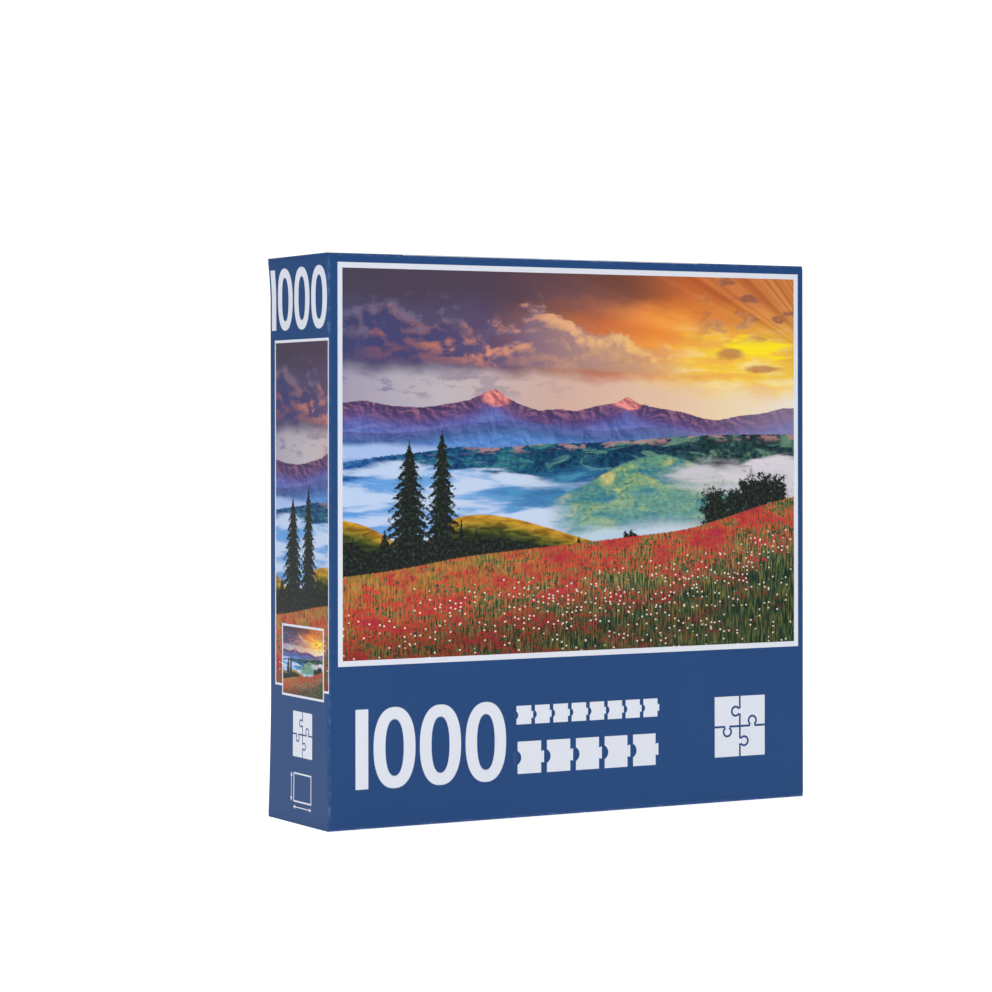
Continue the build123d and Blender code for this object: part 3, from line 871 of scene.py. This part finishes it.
def tile_icon(add, x, z, left, low, size):
    """Four interlocked jigsaw tiles in a square: white, with their cut lines left bare."""
    half = size / 2
    shape = inside(add, x, z, left, left + size, low, low + size)
    gap = size * 0.035
    cuts = None
    for upright, along in ((True, 0.25), (True, 0.75), (False, 0.25), (False, 0.75)):
        sign = 1 if (along < 0.5) == upright else -1
        run, cross = (z, x) if upright else (x, z)
        start, middle = (low, left + half) if upright else (left, low + half)
        run = add("Math:SUBTRACT", run, start + along * size)
        cross = add("Math:SUBTRACT", cross, middle)
        # A round tab stands on the cut line: the line is cut away across the tab's neck.
        away = add("Math:SUBTRACT", cross, sign * size * 0.085)
        ring = add(
            "Math:SQRT", add("Math:ADD", add("Math:MULTIPLY", run, run), add("Math:MULTIPLY", away, away))
        )
        ring = add("Math:ABSOLUTE", add("Math:SUBTRACT", ring, size * 0.075))
        ring = add("Math:LESS_THAN", ring, gap / 2)
        in_run = add("Math:LESS_THAN", add("Math:ABSOLUTE", run), size * 0.25)
        neck = add("Math:LESS_THAN", add("Math:ABSOLUTE", run), size * 0.04)
        line = add("Math:LESS_THAN", add("Math:ABSOLUTE", cross), gap / 2)
        line = add("Math:MULTIPLY", add("Math:MULTIPLY", line, in_run), add("Math:SUBTRACT", 1.0, neck))
        ring = add(
            "Math:MULTIPLY",
            ring,
            add(
                "Math:SUBTRACT",
                1.0,
                add("Math:MULTIPLY", neck, add("Math:LESS_THAN", add("Math:ABSOLUTE", cross), gap * 0.8)),
            ),
        )
        mark = add("Math:MAXIMUM", line, ring)
        cuts = mark if cuts is None else add("Math:MAXIMUM", cuts, mark)
    return add("Math:MULTIPLY", shape, add("Math:SUBTRACT", 1.0, cuts))


def tile_strip(add, x, z, left, right, low, high):
    """A row of jigsaw tiles, each with a round tab into the next, as a band of ornament."""
    size = high - low
    count = max(1, round((right - left) / (size * 1.12)))
    pitch = (right - left) / count
    along = add("Math:DIVIDE", add("Math:SUBTRACT", x, left), pitch)
    cell = add("Math:MULTIPLY", add("Math:SUBTRACT", add("Math:FRACT", along), 0.5), pitch)
    up = add("Math:SUBTRACT", z, (low + high) / 2)
    body = inside(add, cell, up, -pitch * 0.40, pitch * 0.40, -size / 2, size / 2)
    # The tab goes to the right of each tile and its socket is cut from the left of the next.
    radius = size * 0.19
    tab_x = add("Math:SUBTRACT", cell, pitch * 0.40 + radius * 0.55)
    tab = add(
        "Math:LESS_THAN",
        add("Math:SQRT", add("Math:ADD", add("Math:MULTIPLY", tab_x, tab_x), add("Math:MULTIPLY", up, up))),
        radius,
    )
    hole_x = add("Math:ADD", cell, pitch * 0.60 - radius * 0.55)
    hole = add(
        "Math:LESS_THAN",
        add("Math:SQRT", add("Math:ADD", add("Math:MULTIPLY", hole_x, hole_x), add("Math:MULTIPLY", up, up))),
        radius * 1.25,
    )
    tile = add("Math:MAXIMUM", add("Math:MULTIPLY", body, add("Math:SUBTRACT", 1.0, hole)), tab)
    return add("Math:MULTIPLY", tile, inside(add, x, z, left, right, low - 1, high + 1))


def size_icon(add, x, z, left, low, width, height):
    """A small frame with an arrow along its foot and one up its side, for the finished size."""
    frame_line = add(
        "Math:SUBTRACT",
        inside(add, x, z, left, left + width, low, low + height),
        inside(add, x, z, left + 0.7, left + width - 0.7, low + 0.7, low + height - 0.7),
    )
    mark = frame_line
    for run, cross, start, length, place in ((x, z, left, width, low - 2.2), (z, x, low, height, left - 2.2)):
        off = add("Math:ABSOLUTE", add("Math:SUBTRACT", cross, place))
        end = add(
            "Math:SUBTRACT", length / 2, add("Math:ABSOLUTE", add("Math:SUBTRACT", run, start + length / 2))
        )
        shaft = add("Math:MULTIPLY", add("Math:LESS_THAN", off, 0.22), add("Math:GREATER_THAN", end, 0.8))
        head = add(
            "Math:MULTIPLY",
            add("Math:LESS_THAN", off, add("Math:MULTIPLY", end, 0.5)),
            add("Math:MULTIPLY", add("Math:GREATER_THAN", end, 0.0), add("Math:LESS_THAN", end, 1.9)),
        )
        mark = add("Math:MAXIMUM", mark, add("Math:MAXIMUM", shaft, head))
    return mark


def front_marks(add, x, z):
    """White ornament beside the figures on the front: two bands of tiles and a block of four tiles."""
    marks = tile_strip(add, x, z, 92.5, 169.0, 41.7, 50.0)
    marks = add("Math:MAXIMUM", marks, tile_strip(add, x, z, 92.5, 168.5, 19.6, 34.0))
    return add("Math:MAXIMUM", marks, tile_icon(add, x, z, 199.5, 21.0, 28.0))


def wall_marks(add, u, v):
    """White ornament below the picture on a side wall: a block of tiles and the finished size's icon."""
    marks = tile_icon(add, u, v, 24.4, 29.5, 20.0)
    return add("Math:MAXIMUM", marks, size_icon(add, u, v, 25.5, 9.5, 18.2, 13.0))


def tray_print(colours):
    """Art paper printed in the ground colour and matt-laminated: an even, soft sheen, rubbed a little
    duller in places, with a block and a band of tiles on the tray's back."""
    material, add = new_material("laminated_ground_paper")
    place = add("TexCoord", out=3)
    x, y, z = (add("SeparateXYZ", add("VectorMath:SCALE", place, {"Scale": 1000.0}), out=i) for i in range(3))
    ground, _, normal = laminated_ground(add, colours, place)
    outer = add("Math:GREATER_THAN", y, 1000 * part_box("base_wrap")[1][1] - 0.05)
    read_x = add("Math:MULTIPLY", x, -1.0)
    middle = 1000 * (LOW.z + HIGH.z) / 2
    marks = tile_strip(add, read_x, z, -84.0, 84.0, 22.0, 31.0)
    marks = add("Math:MAXIMUM", marks, tile_icon(add, read_x, z, -36.0, middle - 24.0, 72.0))
    colour = over(add, ground, tuple(colours.white), add("Math:MULTIPLY", marks, outer))
    scuff = add("TexNoise", {"Vector": place, "Scale": 180.0, "Detail": 6.0, "Roughness": 0.7})
    rough = add(
        "MapRange:LINEAR", scuff, {"From Min": 0.35, "From Max": 0.75, "To Min": 0.36, "To Max": 0.52}
    )
    finish_surface(add, colour, {"Roughness": rough, "IOR": 1.46, "Specular IOR Level": 0.12}, normal)
    return material


def greyboard(colours):
    """Solid recycled board, calendered: flecked with fibres of many colours, dull and slightly rough."""
    material, add = new_material("calendered_greyboard")
    place = add("TexCoord", out=3)
    fibres = add(
        "TexNoise",
        {
            "Vector": add("VectorMath:MULTIPLY", place, (700.0, 700.0, 2100.0)),
            "Scale": 1.0,
            "Detail": 5.0,
            "Roughness": 0.65,
            "Distortion": 1.2,
        },
    )
    flecks = add("TexVoronoi", {"Vector": place, "Scale": 420.0}, out=0)
    clouds = add("TexNoise", {"Vector": place, "Scale": 60.0, "Detail": 3.0})
    colour = add(
        "MixRGB:MULTIPLY",
        0.55,
        tuple(colours.greyboard),
        add("ValToRGB", fibres, stops=((0.3, "#A8A296"), (0.5, "#E8E4DC"), (0.7, "#FFFFFF"))),
    )
    colour = add(
        "MixRGB:MULTIPLY", 0.35, colour, add("ValToRGB", clouds, stops=((0.35, "#D0CCC2"), (0.65, "#FFFFFF")))
    )
    colour = over(
        add,
        colour,
        srgb("#5F5B54"),
        add("MapRange:SMOOTHSTEP", flecks, {"From Min": 0.16, "From Max": 0.06, "To Max": 0.6}),
    )
    normal = add("Bump", {"Height": fibres, "Strength": 0.4, "Distance": 0.0001})
    rough = add("MapRange:LINEAR", fibres, {"From Min": 0.3, "From Max": 0.7, "To Min": 0.82, "To Max": 0.95})
    finish_surface(add, colour, {"Roughness": rough, "IOR": 1.45}, normal)
    return material


def gummed_kraft():
    """Kraft paper tape, gummed: brown with long fibres, a dull surface."""
    material, add = new_material("gummed_kraft_tape")
    place = add("TexCoord", out=3)
    fibres = add(
        "TexNoise",
        {
            "Vector": add("VectorMath:MULTIPLY", place, (1500.0, 300.0, 1500.0)),
            "Scale": 1.0,
            "Detail": 5.0,
            "Roughness": 0.6,
        },
    )
    colour = add("ValToRGB", fibres, stops=((0.3, "#A98A62"), (0.55, "#C0A27A"), (0.75, "#CDB48E")))
    normal = add("Bump", {"Height": fibres, "Strength": 0.4, "Distance": 0.00006})
    rough = add("MapRange:LINEAR", fibres, {"To Min": 0.7, "To Max": 0.9})
    finish_surface(add, colour, {"Roughness": rough, "IOR": 1.45}, normal)
    return material


def die_cut_board(colours, row):
    """Puzzle board, printed on one face and cut with steel rule: glossy picture, blue-grey card back and
    pale cut edges."""
    material, add = new_material(f"die_cut_puzzle_board_{row:02d}")
    place = add("TexCoord", out=3)
    facing = add("TexCoord", out=1)
    dice = add("NewGeometry", out=8)
    ny = add("SeparateXYZ", facing, out=1)
    # Each piece is a random column of the picture's row; half of them lie with the print hidden.
    flipped = add("Math:GREATER_THAN", dice, 0.5)
    behind = add("Math:GREATER_THAN", ny, 0.5)
    in_front = add("Math:LESS_THAN", ny, -0.5)
    printed = add(
        "Math:ADD",
        add("Math:MULTIPLY", flipped, behind),
        add("Math:MULTIPLY", add("Math:SUBTRACT", 1.0, flipped), in_front),
    )
    x, z = (add("SeparateXYZ", add("VectorMath:SCALE", place, {"Scale": 1000.0}), out=i) for i in (0, 2))
    turned = add("Math:MULTIPLY", add("Math:FRACT", add("Math:MULTIPLY", dice, 97.0)), PICTURE_WIDTH)
    local_x = add(
        "Math:MULTIPLY_ADD",
        add("Math:SUBTRACT", add("Math:FRACT", add("Math:DIVIDE", x, 17.5)), 0.5),
        5.9,
        turned,
    )
    local_z = add(
        "Math:MULTIPLY_ADD",
        add("Math:SUBTRACT", add("Math:FRACT", add("Math:DIVIDE", z, 20.0)), 0.5),
        6.8,
        (row - 0.5) * PICTURE_HEIGHT / PUZZLE_ROWS,
    )
    picture = add("Group", {"X": local_x, "Z": local_z}, node_tree=bpy.data.node_groups["meadow_at_sunset"])
    pulp = add(
        "TexNoise",
        {
            "Vector": add("VectorMath:SCALE", place, {"Scale": 1600.0}),
            "Scale": 1.0,
            "Detail": 4.0,
            "Roughness": 0.6,
        },
    )
    card = add(
        "MixRGB:MULTIPLY",
        0.6,
        tuple(colours.piece_back),
        add("ValToRGB", pulp, stops=((0.3, "#B8B4AC"), (0.6, "#FFFFFF"))),
    )
    layers = add(
        "TexNoise",
        {"Vector": add("VectorMath:MULTIPLY", place, (300.0, 5000.0, 300.0)), "Scale": 1.0, "Detail": 2.0},
    )
    edge = add("ValToRGB", layers, stops=((0.35, "#8C8A84"), (0.6, "#B4B0A6")))
    flat = add("Math:ADD", behind, in_front)
    colour = over(add, over(add, edge, card, flat), picture, printed)
    linen = add("TexNoise", {"Vector": place, "Scale": 1200.0, "Detail": 2.0})
    normal = add("Bump", {"Height": linen, "Strength": 0.3, "Distance": 0.00006})
    rough = add("Math:MULTIPLY_ADD", printed, -0.45, 0.85)
    finish_surface(add, colour, {"Roughness": rough, "IOR": 1.5}, normal)
    return material


def polythene():
    """Blown polythene film, heat-sealed: clear, thin and glossy, with fine crinkles that catch the light."""
    material, add = new_material("blown_polythene_film")
    place = add("TexCoord", out=3)
    creases = add(
        "TexNoise",
        {
            "Vector": add("VectorMath:MULTIPLY", place, (60.0, 60.0, 25.0)),
            "Scale": 1.0,
            "Detail": 6.0,
            "Roughness": 0.6,
            "Distortion": 2.5,
        },
    )
    z = add("SeparateXYZ", place, out=2)
    haze = add(
        "MapRange:LINEAR", creases, {"From Min": 0.35, "From Max": 0.65, "To Min": 0.09, "To Max": 0.30}
    )
    seal_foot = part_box("piece_bag")[1][2] - SEAL_HEIGHT
    seal = add(
        "MapRange:SMOOTHSTEP", z, {"From Min": seal_foot, "From Max": seal_foot + 1 * MM, "To Max": 0.3}
    )
    # The heated bars leave crimps 1.5 mm apart across the seal.
    crimp = add("Math:MULTIPLY", add("Math:SINE", add("Math:MULTIPLY", z, 2 * math.pi / (1.5 * MM))), seal)
    relief = add("Math:MULTIPLY_ADD", crimp, 0.3, creases)
    normal = add("Bump", {"Height": relief, "Strength": 0.6, "Distance": 0.0014})
    cover = add("Math:MINIMUM", add("Math:ADD", haze, seal), 1.0)
    tint = add("ValToRGB", creases, stops=((0.3, "#E4EAF0"), (0.7, "#FAFCFE")))
    finish_surface(add, tint, {"Roughness": 0.09, "IOR": 1.5, "Alpha": cover}, normal)
    return material


# --- shapes --------------------------------------------------------------------------------------
def drawn_in(point, sizes):
    """Where a point of the lid goes when its walls draw in at the rim, between the stiff corners."""
    back = max(0.0, min(1.0, (point.y - LID_LOW.y) / (LID_HIGH.y - LID_LOW.y)))
    reach = back**1.3
    up = point.z / LID_HIGH.z
    # It starts within a few millimetres of the top corner and more slowly from the bottom one.
    rise = min(1.0, (1 - up) * 16) ** 0.7 * min(1.0, up * 5) ** 0.7 if 0 < up < 1 else 0.0
    along = abs(point.x) / LID_HIGH.x
    span = (1 - along**6) if along < 1 else 0.0
    moved = point.copy()
    wall = max(0.0, (along - 0.9) * 10)
    moved.x -= math.copysign(sizes.side_bow * reach * rise * wall, point.x)
    if up > 0.9:
        moved.z -= sizes.end_bow * reach * span * (up - 0.9) * 10
    return moved


def bowed_copy(name, nodes, sizes):
    """One piece made from these nodes' shapes, cut finely enough to follow the bow."""
    shape = bmesh.new()
    for node in nodes:
        shape.from_mesh(NODES[node].data)
    cuts = [("y", LID_LOW.y + t * (LID_HIGH.y - LID_LOW.y)) for t in (0.15, 0.3, 0.45, 0.6, 0.75, 0.9)]
    cuts += [
        ("z", LID_HIGH.z * t) for t in (
            0.02, 0.04, 0.07, 0.11, 0.16, 0.22, 0.3, 0.4, 0.5, 0.6, 0.7, 0.78, 0.85, 0.9, 0.93, 0.95, 0.97,
            0.985,
        )
    ]
    cuts += [
        ("x", LID_HIGH.x * t) for t in (-0.95, -0.85, -0.7, -0.5, -0.25, 0.0, 0.25, 0.5, 0.7, 0.85, 0.95)
    ]
    axes = {"x": Vector((1, 0, 0)), "y": Vector((0, 1, 0)), "z": Vector((0, 0, 1))}
    for axis, place in cuts:
        bmesh.ops.bisect_plane(
            shape,
            geom=shape.verts[:] + shape.edges[:] + shape.faces[:],
            plane_co=axes[axis] * place,
            plane_no=axes[axis],
            dist=1e-7,
        )
    for vertex in shape.verts:
        vertex.co = drawn_in(vertex.co, sizes)
    mesh = bpy.data.meshes.new(name)
    shape.to_mesh(mesh)
    shape.free()
    piece = bpy.data.objects.new(name, mesh)
    bpy.context.scene.collection.objects.link(piece)
    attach(piece, "lid")
    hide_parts(*nodes)
    return piece


def film_shape():
    """The bag's film as a mesh: the outer skin of the bag's solid, before it is creased."""
    source = bmesh.new()
    source.from_mesh(NODES["piece_bag"].data)
    bmesh.ops.remove_doubles(source, verts=source.verts[:], dist=1e-6)
    # The inner skin of the hollow solid is dropped: it is the shell that doesn't reach the lowest point.
    todo = [min(source.verts, key=lambda vertex: vertex.co.z)]
    outer = set(todo)
    while todo:
        for edge in todo.pop().link_edges:
            for vertex in edge.verts:
                if vertex not in outer:
                    outer.add(vertex)
                    todo.append(vertex)
    bmesh.ops.delete(source, geom=[vertex for vertex in source.verts if vertex not in outer], context="VERTS")
    mesh = bpy.data.meshes.new("bag_film")
    source.to_mesh(mesh)
    source.free()
    return mesh


def creased(piece):
    """Presses folds into the film: thin lines where it was gathered, deepest in its upper part."""
    rest = [(vertex.co.copy(), vertex.normal.copy()) for vertex in piece.data.vertices]
    for vertex, (home, out) in zip(piece.data.vertices, rest):
        press = 0.0
        for width, share in ((46 * MM, 0.6), (19 * MM, 0.4)):
            fold = 1 - min(1.0, 3.2 * abs(noise.noise(home / width + Vector((3.0, 7.0, 1.0)))))
            press += share * fold**1.5
        vertex.co = home - out * press * film_reach(home.z)
    return rest


def film_reach(height):
    """How far in the film may go: little round the full part of the heap, further above 150 mm."""
    upper = max(0.0, min(1.0, (height - 150 * MM) / (30 * MM)))
    return (1.7 + 4.3 * upper) * MM


def crumpled(piece, rest, slack, frames=14):
    """Lets the film buckle in a short cloth simulation without gravity, and keeps it in its place."""
    context = bpy.context
    cloth = piece.modifiers.new("cloth", "CLOTH")
    cloth.settings.quality = 4
    cloth.settings.mass = 0.02
    cloth.settings.tension_stiffness = 40
    cloth.settings.compression_stiffness = 40
    cloth.settings.bending_stiffness = 0.02
    cloth.settings.shrink_min = -slack
    cloth.settings.effector_weights.gravity = 0
    cloth.collision_settings.use_collision = False
    for number in range(1, frames + 1):
        context.scene.frame_set(number)
    result = piece.evaluated_get(context.evaluated_depsgraph_get()).to_mesh()
    moved = [vertex.co.copy() for vertex in result.vertices]
    piece.modifiers.clear()
    context.scene.frame_set(1)
    for vertex, (home, out), place in zip(piece.data.vertices, rest, moved):
        shift = place - home
        lift = shift.dot(out)
        along = shift - out * lift
        if along.length > 1.0 * MM:
            along *= 1.0 * MM / along.length
        vertex.co = home + along + out * max(-film_reach(home.z), min(0.2 * MM, lift))


# --- operators -----------------------------------------------------------------------------------
class PUZZLEBOX_OT_lid(bpy.types.Operator):
    """Build the lid's printed wrap, board and corner stays with walls that draw in at the rim"""

    bl_idname = "puzzlebox.lid"
    bl_label = "Lid"

    def execute(self, context):
        sizes, colours = context.scene.puzzlebox_sizes, context.scene.puzzlebox_colours
        wrap = bowed_copy("lid_printed_wrap", ["lid_wrap"], sizes)
        paint(wrap, laminated_print(colours))
        shell = bowed_copy("lid_board_shell", ["lid_board"], sizes)
        paint(shell, greyboard(colours))
        stays = [name for name in NODES if name.startswith("lid_stay_")]
        tape = bowed_copy("lid_corner_stays", sorted(stays), sizes)
        paint(tape, gummed_kraft())
        return {"FINISHED"}


class PUZZLEBOX_OT_tray(bpy.types.Operator):
    """Finish the tray's wrap, board and corner stays"""

    bl_idname = "puzzlebox.tray"
    bl_label = "Tray"

    def execute(self, context):
        colours = context.scene.puzzlebox_colours
        paint(NODES["base_wrap"], tray_print(colours))
        paint(NODES["base_board"], bpy.data.materials["calendered_greyboard"])
        for name in sorted(NODES):
            if name.startswith("base_stay_"):
                paint(NODES[name], bpy.data.materials["gummed_kraft_tape"])
        return {"FINISHED"}


class PUZZLEBOX_OT_pieces(bpy.types.Operator):
    """Finish the loose jigsaw pieces, row by row of the picture"""

    bl_idname = "puzzlebox.pieces"
    bl_label = "Jigsaw pieces"

    def execute(self, context):
        colours = context.scene.puzzlebox_colours
        special = {
            "jigsaw_bottom_edge_pieces": 1,
            "jigsaw_top_edge_pieces": PUZZLE_ROWS,
            "jigsaw_corner_pieces": PUZZLE_ROWS,
            "jigsaw_left_edge_pieces": 9,
            "jigsaw_right_edge_pieces": 14,
        }
        for name in sorted(NODES):
            if name.startswith("jigsaw_"):
                # Shared corners make each piece one island, so its random number is its own.
                NODES[name].modifiers.new("shared_corners", "WELD").merge_threshold = 0.001 * MM
                row = special.get(name) or int(name[-2:])
                paint(NODES[name], die_cut_board(colours, row))
        return {"FINISHED"}


class PUZZLEBOX_OT_bag(bpy.types.Operator):
    """Make the film bag round the pieces, creased and crumpled"""

    bl_idname = "puzzlebox.bag"
    bl_label = "Film bag"

    def execute(self, context):
        film = bpy.data.objects.new("bag_film", film_shape())
        context.scene.collection.objects.link(film)
        remesh = film.modifiers.new("even", "REMESH")
        remesh.mode = "VOXEL"
        remesh.voxel_size = 2.2 * MM
        even = bpy.data.meshes.new_from_object(film.evaluated_get(context.evaluated_depsgraph_get()))
        film.modifiers.clear()
        film.data = even
        rest = creased(film)
        crumpled(film, rest, context.scene.puzzlebox_sizes.film_slack)
        for polygon in film.data.polygons:
            polygon.use_smooth = True
        paint(film, polythene())
        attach(film, "contents")
        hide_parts("piece_bag")
        return {"FINISHED"}


class PUZZLEBOX_OT_stage(bpy.types.Operator):
    """Set the floor, the soft lights and the camera"""

    bl_idname = "puzzlebox.stage"
    bl_label = "Stage"

    def execute(self, context):
        scene = context.scene
        table = bmesh.new()
        bmesh.ops.create_grid(table, x_segments=8, y_segments=8, size=1.6)
        mesh = bpy.data.meshes.new("floor")
        table.to_mesh(mesh)
        table.free()
        floor = bpy.data.objects.new("floor", mesh)
        scene.collection.objects.link(floor)
        # Opal acrylic, lit from under: it is white all over, with hardly a shadow.
        material, add = new_material("opal_acrylic_table")
        cloud = add("TexNoise", {"Vector": add("TexCoord", out=3), "Scale": 3.0})
        colour = add("ValToRGB", cloud, stops=((0.3, "#F2F2F3"), (0.7, "#F6F6F6")))
        lit_under = {"Roughness": 0.6, "Emission Color": srgb("#FFFFFF"), "Emission Strength": 0.62}
        finish_surface(add, colour, lit_under)
        paint(floor, material)

        # The studio is white behind the object and dim in front of it, where nothing is lit.
        world = bpy.data.worlds.new("studio")
        scene.world = world
        world.use_nodes = True
        world.node_tree.nodes.clear()
        add = adder(world.node_tree)
        way = add("TexCoord", out=0)
        front = add("VectorMath:DOT_PRODUCT", way, (0.45, -0.85, -0.3), out=1)
        glow = add(
            "ValToRGB",
            add("MapRange:LINEAR", front, {"From Min": -1.0}),
            stops=((0.0, "#A0A4AB"), (0.55, "#C8CCD4"), (0.85, "#50535A")),
        )
        seen = add("LightPath")
        shown = add("MixRGB:MIX", seen, glow, srgb("#FFFFFF"))
        add("OutputWorld", add("Background", shown, add("Math:MULTIPLY_ADD", seen, 0.4, 0.7)))

        middle = Vector((0.0, 0.0, 0.12))
        for name, place, size, power in (
            ("key_softbox", (-0.9, -2.2, 1.7), 1.6, 34.0),
            ("fill_softbox", (-2.2, -0.9, 1.2), 1.5, 11.0),
            ("top_softbox", (0.0, 0.3, 2.2), 1.6, 16.0),
        ):
            light = bpy.data.lights.new(name, "AREA")
            light.size = size
            light.energy = power
            lamp = bpy.data.objects.new(name, light)
            lamp.location = place
            lamp.rotation_euler = (middle - Vector(place)).to_track_quat("-Z", "Y").to_euler()
            scene.collection.objects.link(lamp)

        lens = bpy.data.cameras.new("studio_camera")
        lens.sensor_width = 36.0
        lens.lens = 109.7
        lens.shift_y = -0.075
        lens.clip_end = 20.0
        camera = bpy.data.objects.new("studio_camera", lens)
        camera.location = (-0.7047, -1.1997, 0.1769)
        camera.rotation_euler = (math.radians(90.0), math.radians(0.07), math.radians(-29.56))
        scene.collection.objects.link(camera)
        scene.camera = camera
        scene.view_settings.view_transform = "Standard"
        return {"FINISHED"}


STEPS = (
    PUZZLEBOX_OT_stage,
    PUZZLEBOX_OT_lid,
    PUZZLEBOX_OT_tray,
    PUZZLEBOX_OT_bag,
    PUZZLEBOX_OT_pieces,
)


class PUZZLEBOX_PT_panel(bpy.types.Panel):
    """The sizes, the colours and each step"""

    bl_label = "Puzzle box"
    bl_idname = "PUZZLEBOX_PT_panel"
    bl_space_type = "VIEW_3D"
    bl_region_type = "UI"
    bl_category = "Puzzle box"

    def draw(self, context):
        for group in (context.scene.puzzlebox_sizes, context.scene.puzzlebox_colours):
            for name in group.__annotations__:
                self.layout.prop(group, name)
        for step_class in STEPS:
            self.layout.operator(step_class.bl_idname)


CLASSES = (BoxSizes, BoxColours, *STEPS, PUZZLEBOX_PT_panel)


def register():
    for each in CLASSES:
        bpy.utils.register_class(each)
    bpy.types.Scene.puzzlebox_sizes = PointerProperty(type=BoxSizes)
    bpy.types.Scene.puzzlebox_colours = PointerProperty(type=BoxColours)


def unregister():
    del bpy.types.Scene.puzzlebox_colours
    del bpy.types.Scene.puzzlebox_sizes
    for each in reversed(CLASSES):
        bpy.utils.unregister_class(each)


def main():
    """Runs every step in order."""
    register()
    bpy.ops.puzzlebox.stage()
    bpy.ops.puzzlebox.lid()
    bpy.ops.puzzlebox.tray()
    bpy.ops.puzzlebox.bag()
    bpy.ops.puzzlebox.pieces()
    bpy.context.view_layer.update()


if __name__ == "__main__":
    main()
